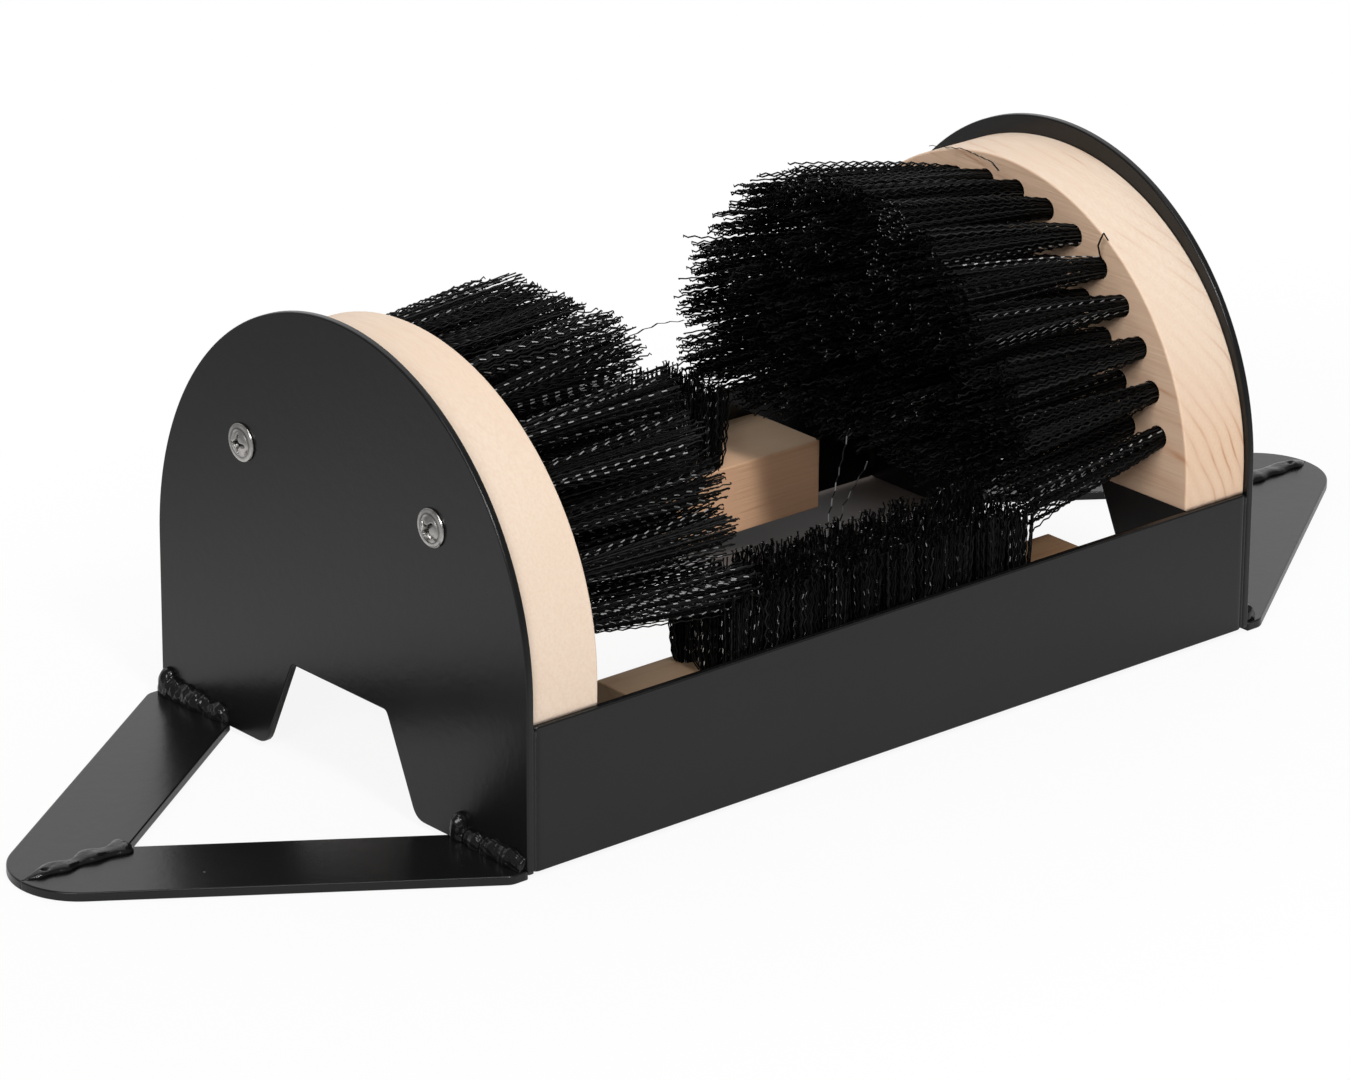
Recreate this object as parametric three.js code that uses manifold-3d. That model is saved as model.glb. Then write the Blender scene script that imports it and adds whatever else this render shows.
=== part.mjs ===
// Boot scrubber: two arched end plates joined by two rails, V-shaped feet of flat bar,
// an arched brush on the inside of each plate and a low brush along each rail.
// Millimetres. X runs along the object, -Y is its front, +Z is up, and the floor is z = 0.
import * as THREE from 'three';
import { mergeGeometries, mergeVertices } from 'three/addons/utils/BufferGeometryUtils.js';
import Module from 'manifold-3d';

const wasm = await Module();
wasm.setup();
const { Manifold, Mesh: SolidMesh } = wasm;

// ---------------------------------------------------------------- driving dimensions

const frameLength = 300; // outside of one end plate to outside of the other
const plateDepth = 180;
const plateTop = 150;
const plateSpring = 55.5; // height where the straight sides end and the arch starts
const sheet = 2.5; // steel of the plates, rails and brackets
const floorGap = 1.5; // the feet lift the plates and rails off the floor
const plateEdge = 0.4; // chamfer left by deburring

const cutoutTopWidth = 46;
const cutoutBottomWidth = 74;
const cutoutTop = 32.5;
const cutoutCorner = 4;

const railTop = 48;

const footBarThickness = 3;
const footBarWidth = 32;
const footAngle = THREE.MathUtils.degToRad(34.6); // between each bar and the X axis
const footOverhang = 4; // of each bar's outer edge past the corner of its plate
const footTipRadius = 23;
const footHeelRadius = 5;

const blockThickness = 26;
const blockInset = 1.8; // the plate stands proud of its wooden block
const woodEdge = 0.8; // eased edges of the wood

const boardLength = 188;
const boardDepth = 33;
const boardTop = 37.5;
const boardThickness = 24;
const boardCorner = 2.5;

const sideTuftPitch = 14; // along a row
const tuftRadius = 3.6;
const sideRowPitch = 13.7;
const sideRowInset = 12.2; // from the edge of the wood to the outermost row
const sideRowRatio = 1.04; // height of an arched row over its half width
const sideTuftFloor = 69.5; // height of the lowest tufts
const sideBristleLength = 64;
const sideFan = 0.06; // how far the tufts lean away from the brush's centre
const boardTuftPitch = 12.5;
const boardRowPitch = 12;
const boardRows = 3;
const boardTuftsPerRow = 9;
const boardBristleLength = 27;
const boardFan = 0.05;
const strandsPerTuft = 3;
const strandRadius = 1.25;
const strandSpread = 1.9; // how much wider a tuft is at its tips
const raggedness = 0.07; // spread of the strands' lengths
const backingSlice = 2; // depth of wood that carries the tufts
const backingMargin = 4; // from the edge of the wood to that slice
const backingGap = 0.3;
const strandRootDepth = 0.6; // how deep a strand reaches into its slice
const strandInset = 0.5; // from the edge of a tuft to its strands
const fieldEdge = 0.6; // wood of a slice past its outermost tufts

const screwSpacing = 92;
const screwHeight = 98.5;
const screwHeadRadius = 6.15;
const screwHeadHeight = 2.2;
const screwShankRadius = 2.2;
const screwGrip = 20; // length in the wood
const crossLength = 5.6;
const crossWidth = 1.1;
const crossDepth = 1.1;

const bracketWidth = 20;
const bracketReach = 20.5;
const bracketOffset = 70; // from the middle of the rail
const boardScrewHeadRadius = 4.2;
const boardScrewHeadHeight = 2.4;
const boardScrewShankRadius = 1.8;
const boardScrewGrip = 14;

const holeClearance = 0.3; // around each screw's shank
const footBead = 5; // leg of the weld between a foot bar and its plate
const tipBeadWidth = 7;
const tipBeadHeight = 1.8;
const railBead = 3;
const railBeadMargin = 4; // from the ends of the corner that it fills
const beadEndGap = 1; // from a weld's end to the end of its joint

const arcSteps = 44; // segments in an end plate's arch
const sliceSteps = 28; // and in the slice of wood behind it
const cornerSteps = 4; // segments in a board's rounded corner
const easeSteps = 5; // and in an eased corner of a plate's opening
const footArcSteps = 12; // and in the round tip of a foot
const boreSides = 16;
const sideScrewSides = 24;
const boardScrewSides = 14;
const beadSteps = 14; // lengths of a lumpy weld
const overrun = 1; // how far a cutting tool passes the face it opens

// ---------------------------------------------------------------- dependent dimensions

const plateOuterX = frameLength / 2;
const plateInnerX = plateOuterX - sheet;
const plateHalf = plateDepth / 2;
const plateRise = plateTop - plateSpring;
const railInnerY = plateHalf - sheet;
const blockInnerX = plateInnerX - blockThickness;
const blockHalf = plateHalf - blockInset;
const blockRise = Math.min(blockHalf, plateRise - blockInset); // the wood's arch is round
const rowScale = sideRowRatio * (blockRise / blockHalf);
const sideOuterRow = blockHalf - sideRowInset;
const sliceFloor = sideTuftFloor - tuftRadius - fieldEdge;
const boardInnerY = railInnerY - boardDepth;
const boardMiddleY = railInnerY - boardDepth / 2;
const boardBottom = boardTop - boardThickness;
const footSlope = Math.tan(footAngle);
const footOuterY = plateHalf + footOverhang;
const footInnerY = footOuterY - footBarWidth / Math.cos(footAngle);
const footInnerApex = plateOuterX + footInnerY / footSlope;
const footTipCentre = plateOuterX + (footOuterY - footTipRadius / Math.cos(footAngle)) / footSlope;

// ---------------------------------------------------------------- materials

const finishes = {
  powderCoat: { color: 0x2b2b2d, roughness: 0.5, metalness: 0.3 },
  pine: { color: 0xead2b2, roughness: 0.75, metalness: 0 },
  filament: { color: 0x111112, roughness: 0.45, metalness: 0 },
  nickel: { color: 0xb9b9ba, roughness: 0.28, metalness: 1 },
  zinc: { color: 0x9b9da1, roughness: 0.4, metalness: 1 },
};

const group = new THREE.Group();
group.name = 'boot_scrubber';

function add(name, finish, geometry) {
  const mesh = new THREE.Mesh(geometry, new THREE.MeshStandardMaterial(finishes[finish]));
  mesh.name = name;
  group.add(mesh);
}

// ---------------------------------------------------------------- geometry helpers

/** Turns a closed geometry into a solid for cutting and joining. */
function toSolid(geometry) {
  const bare = geometry.clone();
  bare.deleteAttribute('normal');
  bare.deleteAttribute('uv');
  const merged = mergeVertices(bare, 1e-4);
  return new Manifold(new SolidMesh({
    numProp: 3,
    vertProperties: new Float32Array(merged.attributes.position.array),
    triVerts: new Uint32Array(merged.index.array),
  }));
}

function toGeometry(solid) {
  const mesh = solid.getMesh();
  const geometry = new THREE.BufferGeometry();
  geometry.setAttribute('position', new THREE.BufferAttribute(mesh.vertProperties, 3));
  geometry.setIndex(new THREE.BufferAttribute(mesh.triVerts, 1));
  return geometry;
}

/** Cuts each of the tools out of a body. */
function cut(body, ...tools) {
  return toGeometry(tools.reduce((rest, tool) => rest.subtract(toSolid(tool)), toSolid(body)));
}

/** Stands a shape drawn in (Y, Z) up in the object's frame, extruded along +X. */
function alongX(geometry, startX) {
  const turn = new THREE.Matrix4().makeBasis(
    new THREE.Vector3(0, 1, 0), new THREE.Vector3(0, 0, 1), new THREE.Vector3(1, 0, 0));
  return geometry.applyMatrix4(turn).translate(startX, 0, 0);
}

/** Extrudes a shape to a full depth that includes its chamfers, which cut into the shape. */
function slab(shape, depth, edge = 0, curveSegments = arcSteps) {
  const geometry = new THREE.ExtrudeGeometry(shape, {
    depth: depth - 2 * edge,
    bevelEnabled: edge > 0,
    bevelThickness: edge,
    bevelSize: edge,
    bevelOffset: -edge,
    bevelSegments: 1,
    curveSegments,
  });
  return geometry.translate(0, 0, edge);
}

function box(x0, x1, y0, y1, z0, z1) {
  const geometry = new THREE.BoxGeometry(x1 - x0, y1 - y0, z1 - z0);
  return geometry.translate((x0 + x1) / 2, (y0 + y1) / 2, (z0 + z1) / 2);
}

/** Copies a geometry to the other side of the YZ plane (flipX) or the XZ plane (flipY). */
function mirrored(geometry, flipX, flipY) {
  const copy = geometry.clone().scale(flipX ? -1 : 1, flipY ? -1 : 1, 1);
  if (flipX === flipY) return copy;
  const indexed = copy.index ? copy : mergeVertices(copy);
  const index = indexed.index.array;
  for (let i = 0; i < index.length; i += 3) {
    [index[i], index[i + 1]] = [index[i + 1], index[i]];
  }
  return indexed;
}

/** Arched outline in (Y, Z): straight sides up to the spring, then half an ellipse. */
function archShape(half, bottom, rise) {
  const shape = new THREE.Shape();
  shape.moveTo(half, bottom);
  shape.lineTo(half, plateSpring);
  shape.absellipse(0, plateSpring, half, rise, 0, Math.PI, false);
  shape.lineTo(-half, bottom);
  return shape;
}

/** Rounded rectangle between two corners. */
function roundedRectangle(x0, y0, x1, y1, r) {
  const shape = new THREE.Shape();
  shape.moveTo(x0 + r, y0);
  shape.lineTo(x1 - r, y0);
  shape.absarc(x1 - r, y0 + r, r, -Math.PI / 2, 0, false);
  shape.lineTo(x1, y1 - r);
  shape.absarc(x1 - r, y1 - r, r, 0, Math.PI / 2, false);
  shape.lineTo(x0 + r, y1);
  shape.absarc(x0 + r, y1 - r, r, Math.PI / 2, Math.PI, false);
  shape.lineTo(x0, y0 + r);
  shape.absarc(x0 + r, y0 + r, r, Math.PI, 1.5 * Math.PI, false);
  return shape;
}

/** A turned piece: points are [radius, distance along the axis], listed from tip to head. */
function turned(points, segments) {
  return new THREE.LatheGeometry(points.map(([r, h]) => new THREE.Vector2(r, h)), segments);
}

/** Joins equal rings of points, in order, into one closed solid with flat ends. */
function loft(rings) {
  const count = rings[0].length;
  const positions = rings.flat().flatMap((p) => [p.x, p.y, p.z]);
  const index = [];
  for (let ring = 0; ring + 1 < rings.length; ring += 1) {
    for (let i = 0; i < count; i += 1) {
      const a = ring * count + i;
      const b = ring * count + (i + 1) % count;
      index.push(a, b, b + count, a, b + count, a + count);
    }
  }
  const last = (rings.length - 1) * count;
  for (let i = 1; i + 1 < count; i += 1) {
    index.push(0, i + 1, i, last, last + i, last + i + 1);
  }
  const geometry = new THREE.BufferGeometry();
  geometry.setAttribute('position', new THREE.Float32BufferAttribute(positions, 3));
  geometry.setIndex(index);
  return geometry;
}

/** A repeatable value between 0 and 1 for the nth of something. */
function scatter(n) {
  return (n * 0.6180339887) % 1;
}

// ---------------------------------------------------------------- end plates

/** Adds an eased corner to an outline, from one point to another, in a few short steps. */
function easeCorner(shape, from, corner, to) {
  const [start, middle, end] = [from, corner, to].map(([y, z]) => new THREE.Vector2(y, z));
  const curve = new THREE.QuadraticBezierCurve(start, middle, end);
  curve.getPoints(easeSteps).forEach((point) => shape.lineTo(point.x, point.y));
}

/** Outline of an end plate, with the slant-sided opening in its lower edge. */
function plateShape() {
  const halfTop = cutoutTopWidth / 2;
  const halfBottom = cutoutBottomWidth / 2;
  const slant = Math.hypot(halfBottom - halfTop, cutoutTop - floorGap);
  const easedY = halfBottom - (cutoutCorner * (halfBottom - halfTop)) / slant;
  const easedZ = floorGap + (cutoutCorner * (cutoutTop - floorGap)) / slant;
  const footY = halfBottom + cutoutCorner;
  const shape = archShape(plateHalf, floorGap, plateRise);
  easeCorner(shape, [-footY, floorGap], [-halfBottom, floorGap], [-easedY, easedZ]);
  shape.lineTo(-halfTop, cutoutTop);
  shape.lineTo(halfTop, cutoutTop);
  easeCorner(shape, [easedY, easedZ], [halfBottom, floorGap], [footY, floorGap]);
  return shape;
}

function endPlate() {
  const plate = alongX(slab(plateShape(), sheet, plateEdge), plateInnerX);
  const holes = [-1, 1].map(
    (side) => screwBore(side, plateInnerX - overrun, plateOuterX + overrun));
  return cut(plate, ...holes);
}

/** Clearance for one of a plate's screws, along X. */
function screwBore(side, x0, x1) {
  const bore = new THREE.CylinderGeometry(
    screwShankRadius + holeClearance, screwShankRadius + holeClearance, x1 - x0, boreSides);
  return bore.rotateZ(Math.PI / 2)
    .translate((x0 + x1) / 2, side * screwSpacing / 2, screwHeight);
}

// ---------------------------------------------------------------- rails and brackets

function rail() {
  return box(-plateInnerX, plateInnerX, railInnerY, plateHalf, floorGap, railTop);
}

/** Angle bracket on the inside of a rail, under a board. */
function bracket() {
  const shape = new THREE.Shape();
  shape.moveTo(railInnerY, floorGap);
  shape.lineTo(railInnerY, boardBottom);
  shape.lineTo(railInnerY - bracketReach, boardBottom);
  shape.lineTo(railInnerY - bracketReach, boardBottom - sheet);
  shape.lineTo(railInnerY - sheet, boardBottom - sheet);
  shape.lineTo(railInnerY - sheet, floorGap);
  const angle = alongX(slab(shape, bracketWidth), bracketOffset - bracketWidth / 2);
  const bore = boardScrewBore(boardBottom - sheet - overrun, boardBottom + overrun);
  return cut(angle, bore);
}

function boardScrewBore(z0, z1) {
  const radius = boardScrewShankRadius + holeClearance;
  const bore = new THREE.CylinderGeometry(radius, radius, z1 - z0, boreSides);
  return bore.rotateX(Math.PI / 2).translate(bracketOffset, boardMiddleY, (z0 + z1) / 2);
}

// ---------------------------------------------------------------- feet

/** One flat bar of a foot, behind the X axis, from its plate to the mitre on the axis. */
function footBar() {
  const sin = Math.sin(footAngle);
  const cos = Math.cos(footAngle);
  const heelY = plateHalf - footHeelRadius;
  const heelX = plateOuterX + (footOuterY - heelY - footHeelRadius / cos) / footSlope;
  const shape = new THREE.Shape();
  shape.moveTo(plateOuterX, footInnerY);
  shape.lineTo(footInnerApex, 0);
  shape.lineTo(footTipCentre + footTipRadius, 0);
  shape.absarc(footTipCentre, 0, footTipRadius, 0, Math.PI / 2 - footAngle, false);
  shape.lineTo(heelX + footHeelRadius * sin, heelY + footHeelRadius * cos);
  shape.absarc(heelX, heelY, footHeelRadius, Math.PI / 2 - footAngle, Math.PI / 2, false);
  shape.lineTo(plateOuterX, plateHalf);
  return slab(shape, footBarThickness, 0, footArcSteps);
}

/** Lumpy fillet weld along Y, where a foot bar meets its plate. */
function footWeld() {
  const start = footInnerY + beadEndGap;
  const end = plateHalf - beadEndGap;
  const rings = [];
  for (let i = 0; i <= beadSteps; i += 1) {
    const y = start + ((end - start) * i) / beadSteps;
    const taper = i === 0 || i === beadSteps ? 0.55 : 1;
    const leg = footBead * taper * (0.86 + 0.14 * Math.sin(i * 2.1));
    const ring = [new THREE.Vector3(plateOuterX, y, footBarThickness)];
    for (let corner = 4; corner >= 0; corner -= 1) {
      const angle = (corner / 4) * (Math.PI / 2);
      ring.push(new THREE.Vector3(
        plateOuterX + leg * Math.cos(angle), y, footBarThickness + leg * Math.sin(angle)));
    }
    rings.push(ring);
  }
  return loft(rings);
}

/** Lumpy weld bead along X over the mitre at the tip of a foot. */
function tipWeld() {
  const start = footInnerApex + 2 * beadEndGap;
  const end = footTipCentre + footTipRadius - 3 * beadEndGap;
  const rings = [];
  for (let i = 0; i <= beadSteps; i += 1) {
    const x = start + ((end - start) * i) / beadSteps;
    const taper = i === 0 || i === beadSteps ? 0.5 : 1;
    const swell = taper * (0.84 + 0.16 * Math.sin(i * 2.3));
    const ring = [];
    for (let corner = 0; corner <= 6; corner += 1) {
      const angle = (corner / 6) * Math.PI;
      ring.push(new THREE.Vector3(x, (tipBeadWidth / 2) * swell * Math.cos(angle),
        footBarThickness + tipBeadHeight * swell * Math.sin(angle)));
    }
    rings.push(ring);
  }
  return loft(rings);
}

/** Upright fillet weld in the corner between a rail and a plate. */
function railWeld() {
  const shape = new THREE.Shape();
  shape.moveTo(plateInnerX, railInnerY);
  shape.lineTo(plateInnerX - railBead, railInnerY);
  shape.quadraticCurveTo(
    plateInnerX - 0.4 * railBead, railInnerY - 0.4 * railBead, plateInnerX, railInnerY - railBead);
  return slab(shape, railTop - floorGap - 2 * railBeadMargin, 0, cornerSteps)
    .translate(0, 0, floorGap + railBeadMargin);
}

// ---------------------------------------------------------------- wood

/** Slice of a side block that carries its tufts, or the wider and taller pocket for it. */
function sideSlice(gap, overcut) {
  const margin = backingMargin - gap;
  const shape = archShape(blockHalf - margin, railTop, blockRise - margin);
  const arch = alongX(slab(shape, backingSlice + overcut, 0, sliceSteps), blockInnerX - overcut);
  const below = box(0, plateInnerX, -plateHalf, plateHalf, 0, sliceFloor - gap);
  return cut(arch, below);
}

/** Arched block inside an end plate, standing on the rails. */
function sideBlock() {
  const shape = archShape(blockHalf, railTop, blockRise);
  const block = alongX(slab(shape, blockThickness, woodEdge), blockInnerX);
  const bores = [-1, 1].map(
    (side) => screwBore(side, plateInnerX - screwGrip - overrun, plateInnerX + overrun));
  return cut(block, sideSlice(backingGap, overrun), ...bores);
}

/** Slice of a board that carries its tufts, or the wider and taller pocket for it. */
function boardSlice(gap, overcut) {
  const halfX = ((boardTuftsPerRow - 1) / 2) * boardTuftPitch + tuftRadius + fieldEdge + gap;
  const halfY = ((boardRows - 1) / 2) * boardRowPitch + tuftRadius + fieldEdge + gap;
  return box(-halfX, halfX, boardMiddleY - halfY, boardMiddleY + halfY,
    boardTop - backingSlice, boardTop + overcut);
}

/** Board along a rail, with the pocket for its slice of tufts. */
function board() {
  const section = roundedRectangle(boardInnerY, boardBottom, railInnerY, boardTop, boardCorner);
  const body = alongX(slab(section, boardLength, woodEdge, cornerSteps), -boardLength / 2);
  const bore = boardScrewBore(boardBottom - overrun, boardBottom + boardScrewGrip + overrun);
  return cut(body, boardSlice(backingGap, overrun), bore, mirrored(bore, true, false));
}

// ---------------------------------------------------------------- tufts

/**
 * Places of a side brush's tufts in (Y, Z): arched rows, one inside the other, that all
 * end at the same height, with one tuft under the smallest arch.
 */
function sideTufts() {
  const tufts = [[0, sideTuftFloor]];
  const floorRise = sideTuftFloor - plateSpring;
  const least = Math.max(sideRowPitch, floorRise / rowScale);
  for (let half = sideOuterRow; half > least; half -= sideRowPitch) {
    const rise = half * rowScale;
    const first = Math.asin(floorRise / rise);
    const sweep = Math.PI - 2 * first;
    const steps = Math.max(1, Math.round((half * sweep) / sideTuftPitch));
    for (let i = 0; i <= steps; i += 1) {
      const angle = first + (sweep * i) / steps;
      tufts.push([half * Math.cos(angle), plateSpring + rise * Math.sin(angle)]);
    }
  }
  return tufts;
}

/** Places of a board's tufts in (X, Y). */
function boardTufts() {
  const tufts = [];
  for (let row = 0; row < boardRows; row += 1) {
    for (let i = 0; i < boardTuftsPerRow; i += 1) {
      tufts.push([
        (i - (boardTuftsPerRow - 1) / 2) * boardTuftPitch,
        boardMiddleY + (row - (boardRows - 1) / 2) * boardRowPitch,
      ]);
    }
  }
  return tufts;
}

/**
 * Three-sided strands standing on z = 0, rooted just below it, in tufts that widen and
 * lean away from a centre.
 */
function strands(tufts, centre, length, fan) {
  const pieces = [];
  tufts.forEach(([u, v], tuft) => {
    for (let k = 0; k < strandsPerTuft; k += 1) {
      const turn = (k / strandsPerTuft) * 2 * Math.PI + tuft * 1.1;
      const root = tuftRadius - strandRadius - strandInset;
      const ends = [root, root * strandSpread].map((reach, end) => new THREE.Vector3(
        u + (u - centre[0]) * fan * end + reach * Math.cos(turn),
        v + (v - centre[1]) * fan * end + reach * Math.sin(turn),
        end ? length * (1 - raggedness * scatter(tuft * strandsPerTuft + k)) : -strandRootDepth));
      pieces.push(loft(ends.map((end, i) => [0, 1, 2].map((corner) => {
        const angle = turn + (corner / 3) * 2 * Math.PI;
        const radius = strandRadius * (i ? 0.8 : 1);
        return new THREE.Vector3(
          end.x + radius * Math.cos(angle), end.y + radius * Math.sin(angle), end.z);
      }))));
    }
  });
  return mergeGeometries(pieces);
}

/** Strands and the slice of wood they stand in, as one solid, on the +X side. */
function sideBristles() {
  const middle = [0, sideTuftFloor];
  const field = alongX(strands(sideTufts(), middle, sideBristleLength, sideFan), 0);
  const facing = mirrored(field, true, false).translate(blockInnerX, 0, 0);
  return toGeometry(toSolid(sideSlice(0, 0)).add(toSolid(facing)));
}

function boardBristles() {
  const field = strands(boardTufts(), [0, boardMiddleY], boardBristleLength, boardFan)
    .translate(0, 0, boardTop);
  return toGeometry(toSolid(boardSlice(0, 0)).add(toSolid(field)));
}

// ---------------------------------------------------------------- screws

/** A cross recess in the face at z = 0, open towards +Z. */
function crossRecess(length, width, depth) {
  return [
    box(-length / 2, length / 2, -width / 2, width / 2, -depth, 1),
    box(-width / 2, width / 2, -length / 2, length / 2, -depth, 1),
  ];
}

/** Flanged pan-head wood screw with its head up and the head's underside on z = 0. */
function panScrew(headRadius, headHeight, shankRadius, below, segments) {
  const body = turned([
    [0, -below],
    [shankRadius, -below + 2 * shankRadius],
    [shankRadius, 0],
    [headRadius, 0],
    [headRadius, 0.4 * headHeight],
    [0.93 * headRadius, 0.68 * headHeight],
    [0.74 * headRadius, 0.9 * headHeight],
    [0.45 * headRadius, headHeight],
    [0, headHeight],
  ], segments);
  return body.rotateX(Math.PI / 2);
}

function sideScrew() {
  const screw = panScrew(screwHeadRadius, screwHeadHeight, screwShankRadius,
    screwGrip + sheet, sideScrewSides);
  const recess = crossRecess(crossLength, crossWidth, crossDepth)
    .map((tool) => tool.translate(0, 0, screwHeadHeight));
  const finished = cut(screw, ...recess);
  return finished.rotateY(Math.PI / 2).translate(plateOuterX, screwSpacing / 2, screwHeight);
}

function boardScrew() {
  const screw = panScrew(boardScrewHeadRadius, boardScrewHeadHeight, boardScrewShankRadius,
    boardScrewGrip + sheet, boardScrewSides);
  const recess = crossRecess(crossLength * 0.75, crossWidth, crossDepth)
    .map((tool) => tool.translate(0, 0, boardScrewHeadHeight));
  const finished = cut(screw, ...recess);
  return finished.rotateX(Math.PI).translate(bracketOffset, boardMiddleY, boardBottom - sheet);
}

// ---------------------------------------------------------------- assembly

const sides = [['left', true], ['right', false]]; // name, mirrored across the YZ plane
const ends = [['front', true], ['rear', false]]; // name, mirrored across the XZ plane

for (const [side, flipX] of sides) {
  add(`end_plate_${side}`, 'powderCoat', mirrored(endPlate(), flipX, false));
  add(`foot_tip_weld_${side}`, 'powderCoat', mirrored(tipWeld(), flipX, false));
  add(`side_block_${side}`, 'pine', mirrored(sideBlock(), flipX, false));
  add(`side_bristles_${side}`, 'filament', mirrored(sideBristles(), flipX, false));
}
for (const [end, flipY] of ends) {
  add(`rail_${end}`, 'powderCoat', mirrored(rail(), false, flipY));
  add(`board_${end}`, 'pine', mirrored(board(), false, flipY));
  add(`board_bristles_${end}`, 'filament', mirrored(boardBristles(), false, flipY));
}
for (const [side, flipX] of sides) {
  for (const [end, flipY] of ends) {
    add(`foot_bar_${side}_${end}`, 'powderCoat', mirrored(footBar(), flipX, flipY));
    add(`foot_weld_${side}_${end}`, 'powderCoat', mirrored(footWeld(), flipX, flipY));
    add(`rail_weld_${side}_${end}`, 'powderCoat', mirrored(railWeld(), flipX, flipY));
    add(`side_screw_${side}_${end}`, 'nickel', mirrored(sideScrew(), flipX, flipY));
    add(`bracket_${side}_${end}`, 'powderCoat', mirrored(bracket(), flipX, flipY));
    add(`board_screw_${side}_${end}`, 'zinc', mirrored(boardScrew(), flipX, flipY));
  }
}

export default group;
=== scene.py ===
# %% [markdown]
# # A boot scrubber, dressed for its portrait
#
# The real object stands on a doorstep. Two arched steel plates carry blocks of pine, and
# the blocks carry tufts of crimped black filament that rub the sides of a boot. Two steel
# rails join the plates, and each carries a low pine board with upright tufts for the sole.
# A V of flat bar is welded to each end as a foot.
#
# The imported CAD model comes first. It is the fixed frame, and nothing in it is moved.

# %% Load the frame
import math

import bpy
import numpy as np
from mathutils import Matrix, Vector
from mathutils.geometry import delaunay_2d_cdt


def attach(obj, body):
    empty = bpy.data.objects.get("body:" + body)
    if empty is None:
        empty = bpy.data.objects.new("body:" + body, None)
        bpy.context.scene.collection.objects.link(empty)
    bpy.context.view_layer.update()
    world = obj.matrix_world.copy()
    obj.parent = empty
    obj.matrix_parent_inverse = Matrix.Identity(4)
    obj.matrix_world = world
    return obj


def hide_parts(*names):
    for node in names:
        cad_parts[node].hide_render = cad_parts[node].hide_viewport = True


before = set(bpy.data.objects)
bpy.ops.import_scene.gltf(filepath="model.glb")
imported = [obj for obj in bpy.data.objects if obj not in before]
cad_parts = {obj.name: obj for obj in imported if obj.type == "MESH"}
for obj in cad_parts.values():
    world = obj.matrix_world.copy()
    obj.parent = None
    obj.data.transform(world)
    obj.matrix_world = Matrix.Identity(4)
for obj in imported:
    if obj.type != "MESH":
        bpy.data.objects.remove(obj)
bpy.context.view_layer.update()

# %% [markdown]
# ## The camera
#
# A long lens from the front left, a little above the object. The three directions of the
# camera are unit vectors, so they are the columns of its turn: right, up, and back.
# Blender shows an object only once it is linked to a collection, so one function does both.

# %% Camera
MM = 0.001
IMAGE_WIDTH = 1350
FOCAL_PIXELS = 6799.3
SENSOR = 36.0

camera_place = Vector((-1.3105, -1.5011, 0.8346))
camera_right = Vector((0.75877, -0.65133, 0.00581))
camera_forward = Vector((0.60688, 0.70369, -0.36948)).normalized()
camera_up = camera_right.cross(camera_forward).normalized()
camera_right = camera_forward.cross(camera_up)


def add_object(name, data):
    """An object with this data, linked to the scene."""
    made = bpy.data.objects.new(name, data)
    bpy.context.scene.collection.objects.link(made)
    return made


lens = bpy.data.cameras.new("camera")
lens.sensor_width = SENSOR
lens.lens = FOCAL_PIXELS / IMAGE_WIDTH * SENSOR
lens.clip_end = 60
camera = add_object("camera", lens)
turn = Matrix((camera_right, camera_up, -camera_forward)).transposed()
camera.matrix_world = Matrix.Translation(camera_place) @ turn.to_4x4()
bpy.context.scene.camera = camera
print("lens:", round(lens.lens, 2), "mm")

# %% [markdown]
# ## Writing a material as arithmetic
#
# A material is a graph of nodes. Written out link by link it is long, so a small class
# wraps the output of a node and lets ordinary + - * and ** add the Math nodes. All other
# nodes come from one method: the kind of node, its settings, and what its sockets get.

# %% Shader helpers
class Wire:
    """An output socket. Arithmetic on it adds a Math node and gives that node's output."""

    def __init__(self, finish, socket):
        self.finish = finish
        self.socket = socket

    def math(self, operation, other=None):
        """A Math node on this value, and on another one if the operation takes two."""
        sockets = {0: self} if other is None else {0: self, 1: other}
        return self.finish.add("Math", {"operation": operation}, sockets)

    def __add__(self, other):
        return self.math("ADD", other)

    def __mul__(self, other):
        return self.math("MULTIPLY", other)

    def __rsub__(self, other):
        return self.finish.add("Math", {"operation": "SUBTRACT"}, {0: other, 1: self})

    def __pow__(self, other):
        return self.math("POWER", other)

    __radd__ = __add__
    __rmul__ = __mul__

    def step(self, low, high):
        """0 below low, 1 above high, and an eased ramp between them."""
        return self.finish.add("MapRange", {"interpolation_type": "SMOOTHSTEP"},
                               {"Value": self, "From Min": low, "From Max": high}, "Result")


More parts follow.
